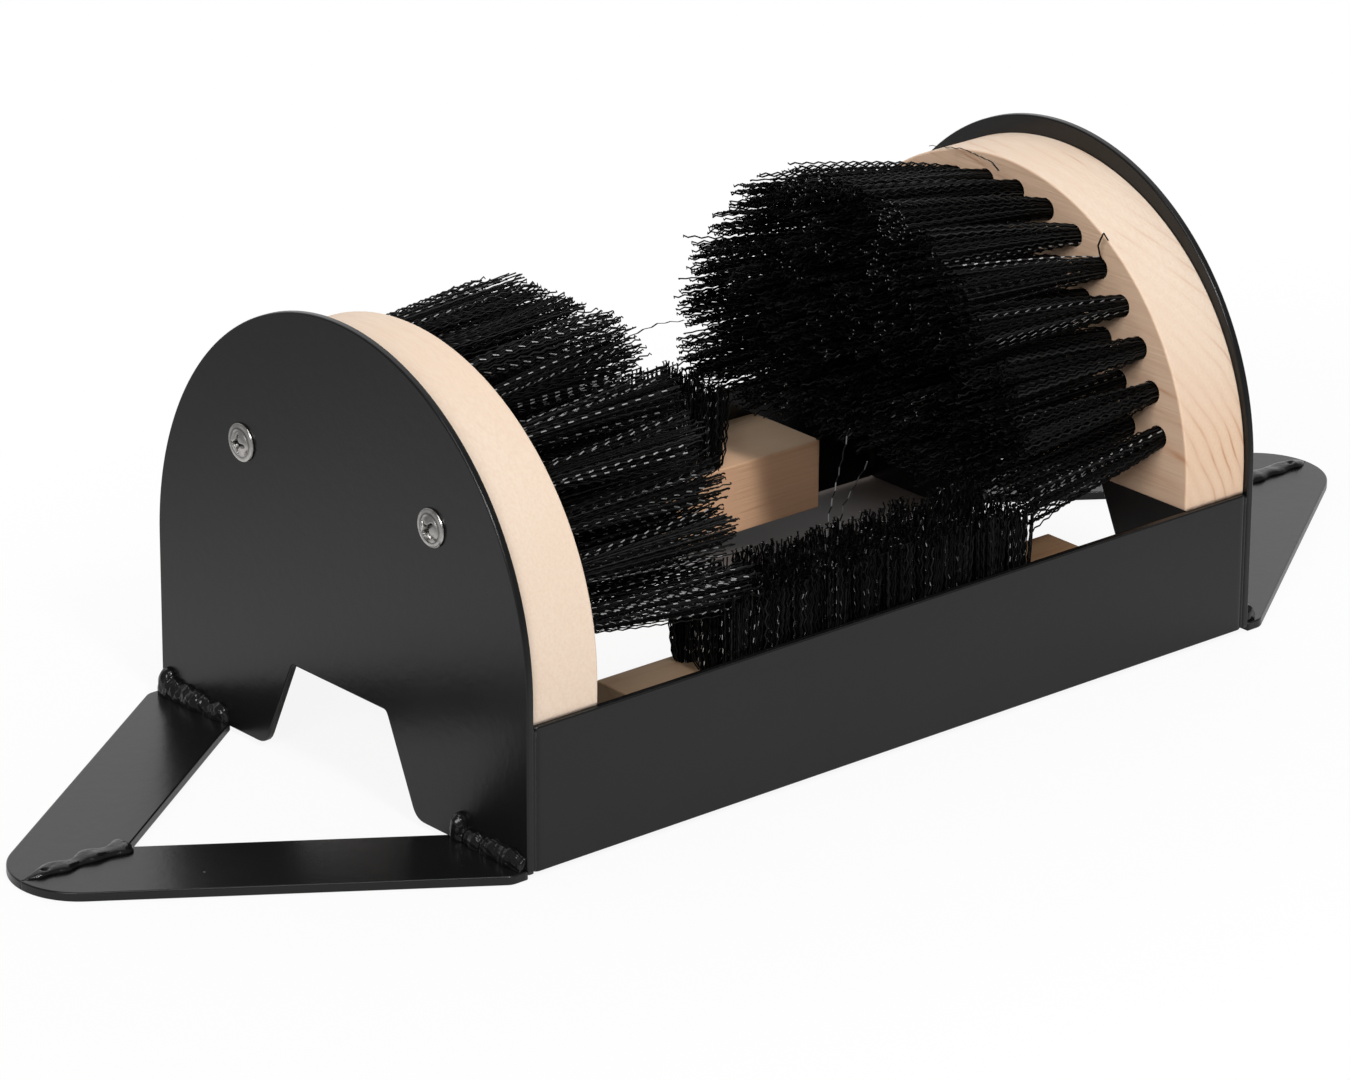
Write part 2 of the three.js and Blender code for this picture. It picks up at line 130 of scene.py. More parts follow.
class Finish:
    """A material and the nodes in it."""

    def __init__(self, name, world=False):
        self.owner = bpy.data.worlds.new(name) if world else bpy.data.materials.new(name)
        self.owner.use_nodes = True
        self.tree = self.owner.node_tree
        self.tree.nodes.clear()

    def add(self, kind, settings=None, sockets=None, output=0):
        """Adds one node: its settings first, then a value or a link for each socket."""
        node = self.tree.nodes.new("ShaderNode" + kind)
        for key, value in (settings or {}).items():
            setattr(node, key, value)
        for key, value in (sockets or {}).items():
            if isinstance(value, Wire):
                self.tree.links.new(value.socket, node.inputs[key])
            else:
                node.inputs[key].default_value = value
        return Wire(self, node.outputs[output]) if len(node.outputs) else None

    def place(self, scale=(1, 1, 1), shift=(0, 0, 0)):
        """Object coordinates in metres, moved and stretched."""
        point = self.add("TexCoord", output="Object")
        return self.add("Mapping", {}, {"Vector": point, "Location": shift, "Scale": scale})

    def axes(self, vector):
        """The X, Y and Z of a vector."""
        node = self.add("SeparateXYZ", {}, {0: vector}).socket.node
        return [Wire(self, socket) for socket in node.outputs]

    def attribute(self, name, output="Fac"):
        """Numbers that were stored on the points or faces of the mesh."""
        return self.add("Attribute", {"attribute_name": name}, output=output)

    def vector(self, operation, *inputs):
        """Vector maths; a length, a distance and a dot product are single numbers."""
        single = operation in ("LENGTH", "DISTANCE", "DOT_PRODUCT")
        return self.add("VectorMath", {"operation": operation}, dict(enumerate(inputs)),
                        "Value" if single else "Vector")

    def noise(self, where, scale, detail=2.0, roughness=0.5):
        """Soft noise between 0 and 1, the finer the larger its scale."""
        return self.add("TexNoise", {}, {"Vector": where, "Scale": scale, "Detail": detail,
                                         "Roughness": roughness})

    def mix(self, factor, a, b):
        """A colour between a and b."""
        return self.add("Mix", {"data_type": "RGBA"}, {0: factor, 6: a, 7: b}, 2)

    def bump(self, height, distance):
        """A normal bent by a height; distance is how many metres a height of 1 stands for."""
        return self.add("Bump", {}, {"Height": height, "Distance": distance})

    def surface(self, sockets):
        """The principled surface, wired to the material's output."""
        shader = self.add("BsdfPrincipled", {}, sockets)
        self.add("OutputMaterial", {}, {"Surface": shader})
        return self.owner


def grey(value):
    return (value, value, value, 1)


def toned(colour, *factors):
    """A colour with each channel times its own factor."""
    return tuple(c * k for c, k in zip(colour, factors)) + (1,)


print("shader helpers ready")

# %% [markdown]
# ## Powder coat
#
# Black powder coat is a thick skin of melted plastic. It mirrors the room softly, so most
# of what is seen on it is the pale floor, and its skin has the faint waviness called
# orange peel. Both the colour and the gloss drift a little, and specks of dust stick to it.

# %% Powder coat
def powder_coat(name, shine, peel):
    """Near-black satin skin; shine is its roughness and peel the depth of its waviness."""
    f = Finish(name)
    where = f.place()
    drift = f.noise(where, 22, 3)
    fine = f.noise(where, 950)
    wavy = f.noise(where, 260)
    dust = f.add("TexVoronoi", {"feature": "F1"}, {"Vector": where, "Scale": 42.0},
                 "Distance")
    rare = f.noise(where, 31, 0)
    speck = (1 - dust.step(0.012, 0.02)) * rare.step(0.56, 0.6)
    skin = f.mix(drift, grey(0.0045), grey(0.0075))
    colour = f.mix(speck, skin, (0.3, 0.29, 0.28, 1))
    return f.surface({
        "Base Color": colour,
        "Roughness": shine - 0.04 + 0.08 * drift,
        "Specular IOR Level": 0.36,
        "Normal": f.bump(0.35 * fine + wavy, peel),
    })


coat = powder_coat("powder_coat", 0.25, 0.00004)
weld_coat = powder_coat("powder_coat_on_weld", 0.14, 0.00022)
print("finishes:", coat.name, weld_coat.name)

# %% [markdown]
# ## Pine
#
# Pine is a stack of growth rings. In a board the rings are long, gently wavy tubes round
# the pith, so the distance from an axis that lies outside the board, bent by some noise,
# gives the rings on every face at once, and the end grain comes out right without a map.
# Fibres are noise that is stretched along the grain: streaks on the sides, pores on the ends.

# %% Pine
def pine(name, grain, pith, contrast, tilt, face, flank, warm=(0, 0, -1), ring_width=0.0046,
         painted_light_span=None):
    """Planed pine; grain is the axis number of its fibres, which lean by the tilt, and pith
    a point in metres. Flank is the colour of the sides whose normal is X (or Y, if the
    fibres run along X). Round the point called warm the wood is redder. A span of X, if
    given, gets painted light: paler fully up to its first X and not at all from its second on."""
    f = Finish(name)
    along = [14.0] * 3
    along[grain] = 2.2
    fibre = [1100.0] * 3
    fibre[grain] = 26.0
    lean = (tilt, 0, 0) if grain == 1 else (0, tilt, 0)
    warp = f.noise(f.place(along), 1.0, 3, 0.6)
    centred = f.place(shift=[-v for v in pith])
    turned = f.add("Mapping", {}, {"Vector": centred, "Rotation": lean})
    across, upward = (axis for i, axis in enumerate(f.axes(turned)) if i != grain)
    radius = (across * across + upward * upward) ** 0.5
    wobble = f.noise(f.place([5 * v for v in along]), 1.0)
    ring = (radius + 0.013 * warp + 0.0014 * wobble) * (2 * math.pi / ring_width)
    patchy = f.noise(f.place((34, 34, 34)), 1.0, 2, 0.6).step(0.42, 0.72)
    wave = ring.math("SINE") * 0.5 + 0.5
    late = wave ** 14 * patchy
    early = wave * 0.14
    streak = f.noise(f.place(fibre), 1.0, 2, 0.6)
    blush = f.noise(f.place((16, 16, 16)), 1.0).step(0.35, 0.75)
    facing = f.axes(f.add("TexCoord", output="Normal"))[1 - grain]
    side = facing.math("ABSOLUTE").step(0.5, 0.95)
    near = 1 - f.vector("DISTANCE", f.place(), warm).step(0.012, 0.06)
    base = f.mix(0.3 * blush + 0.7 * near, (*face, 1), toned(face, 0.92, 0.78, 0.66))
    planed = f.mix(side, base, f.mix(near, (*flank, 1), toned(flank, 0.9, 0.9, 0.9)))
    dark = toned(face, 0.66, 0.4, 0.27)
    ringed = f.mix(contrast * (late + early) * (1 + 1.6 * near + 0.8 * side), planed, dark)
    streaked = (1 - streak).step(0.3, 0.8) * 0.2
    colour = f.mix(streaked, ringed, toned(face, 0.78, 0.6, 0.47))
    # Painted light: the wood is painted paler where light falls in between the brushes.
    if painted_light_span:
        sideways = f.axes(f.place())[0]
        lit_colour = toned(flank, 1.3, 1.3, 1.3)
        colour = f.mix(0.85 * (1 - sideways.step(*painted_light_span)), colour, lit_colour)
    return f.surface({
        "Base Color": colour,
        "Roughness": 0.62 + 0.16 * streak,
        "Specular IOR Level": 0.3,
        "Normal": f.bump(streak + 0.5 * late, 0.00016),
    })


pale_face, pink_flank = (0.885, 0.725, 0.585), (0.86, 0.60, 0.42)
left_pine = pine("pine_of_the_left_block", 1, (-0.235, 0.0, 0.02), 0.07, -0.1, pale_face,
                 pink_flank)
right_pine = pine("pine_of_the_right_block", 1, (0.035, 0.0, 0.03), 0.34, -0.16, pale_face,
                  pink_flank, (0.135, -0.085, 0.05))
# Painted shade: the boards are coloured far darker than the blocks because the brushes shade
# them, and their front and rear sides are painted darker and redder still.
front_pine = pine("pine_of_the_front_board", 0, (0.0, 0.03, -0.07), 0.35, 0.05,
                  (0.38, 0.265, 0.17), (0.4, 0.22, 0.135), (0.085, -0.071, 0.037), 0.007)
rear_pine = pine("pine_of_the_rear_board", 0, (0.0, 0.03, -0.07), 0.2, 0.05,
                 (0.68, 0.49, 0.325), (0.68, 0.41, 0.25), ring_width=0.007,
                 painted_light_span=(0.052, 0.08))
print("finishes:", left_pine.name, right_pine.name, front_pine.name, rear_pine.name)

# %% [markdown]
# ## Filament, nickel and zinc
#
# The filament is extruded plastic, black all through with a faint sheen. Each strand has its
# own number between 0 and 1, kept on its points, so that neighbours differ a little. Each face
# of a strand carries the direction d of its straight run. The smooth normal n less its part
# along d, n - d (n . d), is the normal of a true round rod, and it jumps at each bend. So a
# run either catches a lamp along its whole length or not at all.
#
# On some strands one side of every second run is painted pale, a painted highlight that
# stands for the glints on the crimp, and is also made smoother and a little metallic. The
# way along a strand is counted in runs, so the sine of pi times the way is above 0 on every
# second run, and the height at which it is cut off makes long dashes or small dots of them.
# The cut ends, which have no run, are painted paler than the rest, a painted highlight on
# the tips. The screws are plated, and their turned faces carry fine marks.

# %% Filament and plating
def filament(name, body, gloss, pale, shine, cut_off):
    """Strands up to the brightness of the body, and of some gloss. Where the sine of the
    way is over the cut-off, the marked sides get a painted highlight up to as bright as the
    pale, and are smoother by the shine. The cut ends are painted pale grey as highlight."""
    f = Finish(name)
    tone = f.attribute("strand")
    run = f.attribute("run", "Vector")
    smooth = f.add("TexCoord", output="Normal")
    share = f.vector("DOT_PRODUCT", smooth, run)
    part = f.add("VectorMath", {"operation": "SCALE"}, {0: run, "Scale": share})
    level = f.vector("SUBTRACT", smooth, part)
    beat = (f.attribute("way") * math.pi).math("SINE").step(cut_off, cut_off + 0.2)
    # Painted highlight: the marked sides are painted pale on every second run.
    glinting = f.attribute("glinting") * beat
    # Painted highlight: the cut ends, which have no run, are painted pale grey.
    cut = 1 - f.vector("LENGTH", run).step(0.2, 0.6)
    dull = f.mix(cut, f.mix(tone ** 3, grey(0.002), grey(body)), grey(0.32))
    return f.surface({
        "Base Color": f.mix(glinting, dull, f.mix(tone, grey(0.4 * pale), grey(pale))),
        "Metallic": 0.3 * glinting,
        "Roughness": 0.5 - shine * glinting,
        "Specular IOR Level": gloss,
        "Normal": f.vector("NORMALIZE", level),
    })


def plating(name, colour, shine):
    """Bare metal with turning marks and stains; shine is its least roughness. The share
    called sunk, kept on the points, paints shade into the recess and the groove."""
    f = Finish(name)
    marks = f.noise(f.place((300, 2600, 2600)), 1.0)
    stain = f.noise(f.place(), 420)
    dulled = f.mix(stain.step(0.35, 0.7), colour, toned(colour, 0.7, 0.7, 0.7))
    return f.surface({
        "Base Color": f.mix(f.attribute("sunk"), dulled, (0.06, 0.057, 0.055, 1)),
        "Metallic": 1.0,
        "Roughness": shine + 0.12 * stain,
        "Normal": f.bump(marks, 0.00002),
    })


side_filament = filament("crimped_filament", 0.024, 0.09, 0.7, 0.2, 0.0)
board_filament = filament("crimped_filament_of_the_boards", 0.014, 0.07, 0.95, 0.3, 0.45)
nickel = plating("nickel_plate", (0.56, 0.54, 0.52, 1), 0.2)
zinc = plating("zinc_plate", (0.56, 0.57, 0.6, 1), 0.3)
print("finishes:", side_filament.name, board_filament.name, nickel.name, zinc.name)

# %% [markdown]
# ## Putting arrays into a mesh
#
# Every new piece is worked out as whole arrays in millimetres: points, and groups of faces
# with equally many corners. One function writes this shape into a mesh, gives the piece its
# finish and its body, and hides the CAD node that it stands for. Left and right, or front
# and rear, mostly share one shape that is mirrored.

# %% Mesh helpers
def inside_out(groups):
    """The same faces, each turned round."""
    return [group[:, ::-1] for group in groups]


def mirrored(points, groups, signs):
    """The same shape, mirrored along each axis whose sign is -1. An odd number of them also
    turns each face round, so that it still points outwards."""
    return points * signs, inside_out(groups) if np.prod(signs) < 0 else groups


def make_piece(name, shape, finish, slot, stands_for, signs=(1, 1, 1), flat=(1, 2),
               on_faces=None, **on_points):
    """A shape is (n, 3) points and groups of (m, k) corner numbers. Flat lists the groups
    whose faces are shaded flat, mostly the two ends of a tube. The rest are attributes:
    arrays for the faces of the first group, and for the points."""
    points, groups = mirrored(*shape, np.array(signs))
    groups = [np.asarray(g, np.int32) for g in groups]
    corners = np.concatenate([g.ravel() for g in groups])
    sizes = np.concatenate([np.full(len(g), g.shape[1], np.int32) for g in groups])
    smooth = np.concatenate([np.full(len(g), i not in flat) for i, g in enumerate(groups)])
    mesh = bpy.data.meshes.new(name)
    mesh.vertices.add(len(points))
    mesh.vertices.foreach_set("co", (points * MM).astype(np.float32).ravel())
    mesh.loops.add(len(corners))
    mesh.loops.foreach_set("vertex_index", corners)
    mesh.polygons.add(len(sizes))
    mesh.polygons.foreach_set("loop_start", np.cumsum(sizes, dtype=np.int32) - sizes)
    mesh.update(calc_edges=True)
    mesh.polygons.foreach_set("use_smooth", smooth)
    for label, values in on_points.items():
        mesh.attributes.new(label, "FLOAT", "POINT").data.foreach_set(
            "value", values.astype(np.float32).ravel())
    for label, values in (on_faces or {}).items():
        whole = np.zeros((len(sizes), *values.shape[1:]), np.float32)
        whole[:len(values)] = values
        kind, field = ("FLOAT_VECTOR", "vector") if values.ndim == 2 else ("FLOAT", "value")
        mesh.attributes.new(label, kind, "FACE").data.foreach_set(field, whole.ravel())
    mesh.validate()
    mesh.materials.append(finish)
    piece = add_object(name, mesh)
    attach(piece, "root")
    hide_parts(stands_for)
    print(f"{name}: {len(points)} points, {int((sizes - 2).sum())} triangles")


def grid_points(x, y, z):
    """The points, row by row, whose coordinates are the broadcast X, Y and Z."""
    return np.stack(np.broadcast_arrays(x, y, z), -1).reshape(-1, 3)


def tube_faces(rows, columns):
    """The faces of a tube whose points are closed rows: its sides, first end and last end."""
    c = np.arange(columns)
    n = (c + 1) % columns
    low = np.arange(rows - 1)[:, None] * columns
    high = low + columns
    sides = np.stack([low + c, low + n, high + n, high + c], -1).reshape(-1, 4)
    return [sides, c[None, ::-1], (rows - 1) * columns + c[None]]


print("mesh helpers ready")

# %% [markdown]
# ## Slabs with softened edges
#
# Plates, rails, flat bars, blocks and boards are all slabs: a flat outline with a
# thickness. Real edges are never sharp, and the thin bright line along a soft edge is what
# tells the eye that a black plate is steel. So the outline is carried through a quarter
# round at each face: at angle a it lies r(1 - sin a) inside the outline, at a height of
# r(1 - cos a). Just inside the round one more ring keeps its shading off the flat sides.

# %% Slab function
HOLD = 0.15


def inward(outline):
    """For each point of a closed outline that runs anticlockwise, the move that keeps both
    its edges one unit inside their old places: the sum of the two edge normals over one
    plus their dot product."""
    edge = np.roll(outline, -1, 0) - outline
    edge = edge / np.linalg.norm(edge, axis=1, keepdims=True)
    after = np.stack([-edge[:, 1], edge[:, 0]], 1)
    before = np.roll(after, 1, 0)
    return (before + after) / (1 + (before * after).sum(1, keepdims=True))


def slab(outline, low, high, soft, holes=None, hole_radius=0, steps=4):
    """Points (u, v, w) and faces of a slab between w = low and w = high. Holes are the
    (u, v) centres of blind holes in the high face."""
    a = np.linspace(0, math.pi / 2, steps + 1)
    inset = soft * (1 - np.sin(a))
    lift = soft * (1 - np.cos(a))
    hold = soft + HOLD * min(1, high - low - 2 * soft)
    insets = np.concatenate([inset, [0, 0], inset[::-1]])
    levels = np.concatenate([low + lift, [low + hold, high - hold], high - lift[::-1]])
    n = len(outline)
    rings = outline + insets[:, None, None] * inward(outline)
    levels = np.broadcast_to(levels[:, None, None], (len(levels), n, 1))
    points = np.concatenate([rings, levels], 2).reshape(-1, 3)
    groups = tube_faces(len(insets), n)
    if holes is None:
        return points, groups
    return drilled(points, groups, n, holes, hole_radius)


print("at 45 degrees a soft edge is in by", round(1 - math.sin(math.pi / 4), 3), "radius")

# %% [markdown]
# The drilled face of a block has some fifty holes, so it can't be one polygon. Blender's
# flat triangulation fills the space between outline and rims with triangles: of its answer
# only those inside the outline alone are kept. Each hole then gets a wall and a floor.

# %% Holes in a slab
HOLE_DEPTH = 2.5


def around(count):
    """Angles that divide a full turn evenly."""
    return np.arange(count) / count * 2 * math.pi


def unit(angle):
    """The cosine and the sine of each angle, side by side."""
    return np.stack([np.cos(angle), np.sin(angle)], -1)


def drilled(points, groups, n, holes, radius, corners=20):
    """A slab with blind holes in its high face, whose outline is the last n points."""
    sides, bottom, _ = groups
    last = len(points) - n
    circle = radius * unit(around(corners))
    rims = (holes[:, None] + circle).reshape(-1, 2)
    flat = np.concatenate([points[last:, :2], rims])
    loops = [list(range(n)), *(n + np.arange(len(rims))).reshape(-1, corners).tolist()]
    _, _, triangles, origins, _, inside = delaunay_2d_cdt(
        [Vector(p) for p in flat], [], loops, 1, 1e-5)
    source = np.array([origin[0] for origin in origins])
    solid = [face for face, loop in zip(triangles, inside) if list(loop) == [0]]
    cap = last + source[np.array(solid)]
    rim = np.column_stack([rims, np.full(len(rims), points[last, 2])])
    ring = len(points) + np.arange(len(rims)).reshape(-1, corners)
    after = np.roll(ring, -1, 1)
    floors = ring + len(rims)
    walls = np.stack([ring, floors, after + len(rims), after], -1).reshape(-1, 4)
    points = np.concatenate([points, rim, rim - [0, 0, HOLE_DEPTH]])
    return points, [sides, bottom, cap, walls, floors]


print("quarter turn:", around(4)[1].round(3))

# %% [markdown]
# An outline is put together from arcs and corner points. Outlines are drawn in the plane in
# which the sheet or board was cut, and a slab that stands on edge is turned afterwards.

# %% Outlines
def held(outline):
    """The outline with two more points near the ends of each long straight run, which
    keep the smooth shading of a corner from bleeding into the flat beside it."""
    run = np.roll(outline, -1, 0) - outline
    long = np.linalg.norm(run, axis=1, keepdims=True)
    share = np.minimum(0.3 * long, 1.2) / long
    trio = np.stack([outline, outline + share * run, outline + (1 - share) * run], 1)
    keep = np.stack([np.ones(len(outline), bool), *[(long > 3)[:, 0]] * 2], 1)
    return trio[keep]


def arc(centre, radius, start, end, steps):
    """Points of a circle, or of an ellipse if the radius is a pair, between two angles."""
    angles = np.linspace(start, end, steps + 1)
    return np.add(centre, np.multiply(radius, unit(angles)))


def joined(*parts):
    """One outline from several runs of points, without repeated ones."""
    outline = np.concatenate([np.asarray(p, float).reshape(-1, 2) for p in parts])
    keep = np.linalg.norm(outline - np.roll(outline, 1, 0), axis=1) > 1e-4
    return held(outline[keep])


def on_edge(shape):
    """A slab drawn in Y and Z that is thick along X."""
    points, groups = shape
    return points[:, [2, 0, 1]], groups


print("points on a quarter round:", len(arc((0, 0), 1, 0, math.pi / 2, 4)))

# %% [markdown]
# ## End plates
#
# Each end plate is one arched sheet with a slant-sided opening in its lower edge, through
# which the dirt is swept out. The arch is half of an ellipse on short straight sides.

# %% End plates
PLATE_OUT, PLATE_IN = 150.0, 147.5
PLATE_HALF, SPRING, RISE, FLOOR_GAP = 90.0, 55.5, 94.5, 1.5
OPENING_TOP, PLATE_SOFT = 32.5, 0.55
SIDES = (("left", -1), ("right", 1))


def eased(start, corner, end, steps=5):
    """A corner cut round: a quadratic curve from start to end that aims at the corner."""
    t = np.linspace(0, 1, steps + 1)[:, None]
    start, corner, end = (np.array(p, float) for p in (start, corner, end))
    return (1 - t) ** 2 * start + 2 * t * (1 - t) * corner + t ** 2 * end


def arch(half, bottom, rise, steps=96):
    """Straight sides up to the spring and half an ellipse over them."""
    top = arc((0, SPRING), (half, rise), 0, math.pi, steps)
    return [(half, bottom)], top, [(-half, bottom)]


opening = np.concatenate([
    eased((22, OPENING_TOP), (23, OPENING_TOP), (23.8, 30.7), 3),
    eased((35.36, 5.15), (37, FLOOR_GAP), (41, FLOOR_GAP))])
plate_outline = joined(*arch(PLATE_HALF, FLOOR_GAP, RISE), (opening * [-1, 1])[::-1], opening)
plate = on_edge(slab(plate_outline, PLATE_IN, PLATE_OUT, PLATE_SOFT))
for side, x in SIDES:
    make_piece(f"{side}_plate", plate, coat, "powder_coat", f"end_plate_{side}", (x, 1, 1))

# %% [markdown]
# ## Rails
#
# The rails are straight strips on edge between the plates. Seen from above, their outer
# corners are ground round where they were welded to the plates, so their outline is drawn
# in X and Y and the slab is thick along Z.

# %% Rails
RAIL_TOP, RAIL_IN, GROUND, RAIL_SOFT = 48.0, 87.5, 2.2, 0.5
ENDS = (("front", -1), ("rear", 1))
rail_outline = joined(
    [(-PLATE_IN, RAIL_IN), (PLATE_IN, RAIL_IN)],
    arc((PLATE_IN - GROUND, PLATE_HALF - GROUND), GROUND, 0, math.pi / 2, 6),
    arc((GROUND - PLATE_IN, PLATE_HALF - GROUND), GROUND, math.pi / 2, math.pi, 6))
rail = slab(rail_outline, FLOOR_GAP, RAIL_TOP, RAIL_SOFT)
for end, y in ENDS:
    make_piece(f"{end}_rail", rail, coat, "powder_coat", f"rail_{end}", (1, y, 1))

# %% [markdown]
# ## Feet
#
# Each foot is two lengths of flat bar, cut to a mitre at the tip. Their outer edges meet
# the plate a little outside it, and the tip is rounded.

# %% Foot bars
FOOT_ANGLE = math.radians(34.6)
BAR, BAR_WIDTH, TIP_RADIUS, HEEL_RADIUS, BAR_SOFT = 3.0, 32.0, 23.0, 5.0, 0.5
slope = math.tan(FOOT_ANGLE)
bar_outer = PLATE_HALF + 4
bar_inner = bar_outer - BAR_WIDTH / math.cos(FOOT_ANGLE)
inner_apex = PLATE_OUT + bar_inner / slope
tip_centre = PLATE_OUT + (bar_outer - TIP_RADIUS / math.cos(FOOT_ANGLE)) / slope
heel_v = PLATE_HALF - HEEL_RADIUS
heel_u = PLATE_OUT + (bar_outer - heel_v - HEEL_RADIUS / math.cos(FOOT_ANGLE)) / slope
lean = math.pi / 2 - FOOT_ANGLE
foot_outline = joined(
    [(PLATE_OUT, bar_inner), (inner_apex, 0), (tip_centre + TIP_RADIUS, 0)],
    arc((tip_centre, 0), TIP_RADIUS, 0.02, lean, 24),
    arc((heel_u, heel_v), HEEL_RADIUS, lean, math.pi / 2, 8),
    [(PLATE_OUT, PLATE_HALF)])
foot_bar = slab(foot_outline, 0, BAR, BAR_SOFT)
CORNERS = [(f"{side}_{end}", x, y) for side, x in SIDES for end, y in ENDS]
for corner, x, y in CORNERS:
    make_piece(f"{corner}_foot_bar", foot_bar, coat, "powder_coat", f"foot_bar_{corner}",
               (x, y, 1))

# %% [markdown]
# ## Smooth noise for welds
#
# No two cross-sections of a weld are equal. A sum of sine waves with unrelated lengths and
# seeded phases is smooth, repeatable and cheap.

# %% Noise for welds
def swell(seed, u, v, waves=9, finest=1.6):
    """About -1 to 1 over a surface: the mean of sines of u and v, in millimetres, whose
    lengths run from 12 mm down to the finest."""
    rng = np.random.default_rng(seed)
    total = 0
    for length in np.geomspace(12, finest, waves):
        turn, phase = rng.uniform(0, 2 * math.pi, 2)
        total = total + (length / 12) ** 0.35 * np.sin(
            (u * math.cos(turn) + v * math.sin(turn)) * 2 * math.pi / length + phase)
    return total / waves * 1.8


print("swell at the origin:", swell(1, 0, 0).round(3))

# %% [markdown]
# ## Welds
#
# On each mitre lies a bead that was laid by hand: flat on top, steep at its sides, and
# wavy along both edges, with a pit where the arc was broken off. A grid with one row for
# each cross-section lets noise bend the two edges and the height by themselves.

# %% Bead on a mitre
def tip_bead(seed, rows=130, columns=31):
    """A grid over the mitre, in X and across it. Both edges wander by noise, and with t
    from -1 to 1 between them the height is h (1 - |t|^3.5)^0.5, less a round pit."""
    along = np.linspace(0, 1, rows)[:, None]
    start, stop = inner_apex - 1.2, tip_centre + TIP_RADIUS - 1.6
    x = start + (stop - start) * along
    t = np.linspace(1, -1, columns)[None]
    end = np.clip(np.minimum(along / 0.06, (1 - along) / 0.14), 0, 1) ** 0.5
    left = end * (3.9 - 1.2 * along + 0.8 * swell(seed, x, 0, 3, 8))
    right = end * (3.7 - 1.0 * along + 1.0 * swell(seed + 1, x, 0, 3, 8))
    y = np.where(t > 0, left, right) * t
    height = 1.9 + 0.3 * swell(seed + 2, x, 0, 3, 8) + 0.08 * swell(seed + 3, x, y)
    pit = 0.9 * np.exp(-(((x - stop + 7) / 1.1) ** 2 + ((y - 0.4) / 0.8) ** 2))
    z = BAR - 0.1 + end * (height * (1 - np.abs(t) ** 3.5) ** 0.5 - pit)
    return grid_points(x, y, z), tube_faces(rows, columns)


for (side, x), seed in zip(SIDES, (40, 50)):
    make_piece(f"{side}_tip_bead", tip_bead(seed), weld_coat, "weld", f"foot_tip_weld_{side}",
               (x, -1, 1), flat=())

# %% [markdown]
# Where a bar meets its plate the weld is a chain of puddles, each a ball that froze in the
# corner, and one of them climbs the plate. Seen from the corner the surface has one distance
# in each direction, so a grid over place and angle holds it.

# %% Puddles in a corner
def corner_bead(seed, climb, rows=190, columns=45):
    """A grid in the corner of bar and plate, in Y and in the angle a from the bar. A
    puddle is a ball of radius R round (cx, cz), so along a it reaches cx cos a + cz sin a
    + (R^2 - dy^2 - (cx sin a - cz cos a)^2)^0.5, and the puddles melt together as the
    fourth root of the sum of the fourth powers. One ball climbs the plate, at the given
    share of the length, and Z is stretched."""
    rng = np.random.default_rng(seed)
    start, stop = bar_inner + 0.3, PLATE_HALF - 0.4
    y = np.linspace(start, stop, rows)[:, None]
    a = np.linspace(math.pi / 2, 0, columns)[None]
    count = 15
    middle = np.linspace(start + 2.6, stop - 2.6, count) + rng.normal(0, 0.9, count)
    size = 2.4 + 1.0 * rng.random(count)
    centre = rng.uniform(0, 1.0, (2, count))
    middle[2] = start + 3.4 + climb * (stop - start - 6.8)
    size[2], centre[:, 2] = 2.9, (0.5, 3.0)
    dy = y[..., None] - middle
    cos, sin = np.cos(a)[..., None], np.sin(a)[..., None]
    towards = cos * centre[0] + sin * centre[1]
    aside = sin * centre[0] - cos * centre[1]
    inside = size ** 2 - dy ** 2 - aside ** 2
    each = np.where(inside > 0, towards + np.sqrt(np.clip(inside, 0, None)), 0)
    reach = (each ** 4).sum(-1) ** 0.25
    reach = np.maximum(reach, 0.4) + 0.3 * swell(seed, y, 5 * a, 9, 1.3)
    x = PLATE_OUT + 0.95 * reach * np.cos(a)
    z = BAR + 1.4 * reach * np.sin(a)
    x = np.column_stack([x, np.full(rows, PLATE_OUT - 0.1)])
    z = np.column_stack([z, np.full(rows, BAR - 0.1)])
    return grid_points(x, y, z), inside_out(tube_faces(rows, columns + 1))


for (corner, x, y), seed in zip(CORNERS, (70, 71, 80, 81)):
    make_piece(f"{corner}_corner_bead", corner_bead(seed, (y + 1) / 2), weld_coat, "weld",
               f"foot_weld_{corner}", (x, y, 1), flat=())

# %% [markdown]
# The rails' ends are closed by a thin seam in the groove outside and a thicker bead inside.
# Both are upright rods whose radius wavers.

# %% Seam at a rail's end
def rod(centre_x, centre_y, radius, z, sides=14):
    """An upright round bead: a circle of a radius that changes with z, carried up Z."""
    a = around(sides)
    x = centre_x + radius[:, None] * np.cos(a)
    y = np.reshape(centre_y, (-1, 1)) + radius[:, None] * np.sin(a)
    return grid_points(x, y, z[:, None]), tube_faces(len(z), sides)


def rail_seam(seed):
    """A thin outer bead in the groove between plate and rail, with a lump at its top, and
    a thicker one in the corner inside. The two are separate shells of one piece."""
    z = np.linspace(FLOOR_GAP + 0.6, RAIL_TOP - 0.7, 80)
    lump = np.exp(-((z - RAIL_TOP + 2.2) / 1.3) ** 2)
    thin = 1.15 + 0.1 * swell(seed, z, 0, 8, 1.5) + 0.55 * lump
    outer, outer_faces = rod(PLATE_IN - 0.55, PLATE_HALF - 0.1 - thin, thin, z)
    z = np.linspace(FLOOR_GAP + 4, RAIL_TOP - 4, 60)
    thick = 2.3 + 0.4 * swell(seed + 1, z, 0, 8, 2)
    inner, inner_faces = rod(PLATE_IN - 0.3, RAIL_IN - 0.3, thick, z, 18)
    moved = [group + len(outer) for group in inner_faces]
    return np.concatenate([outer, inner]), [*outer_faces, *moved]


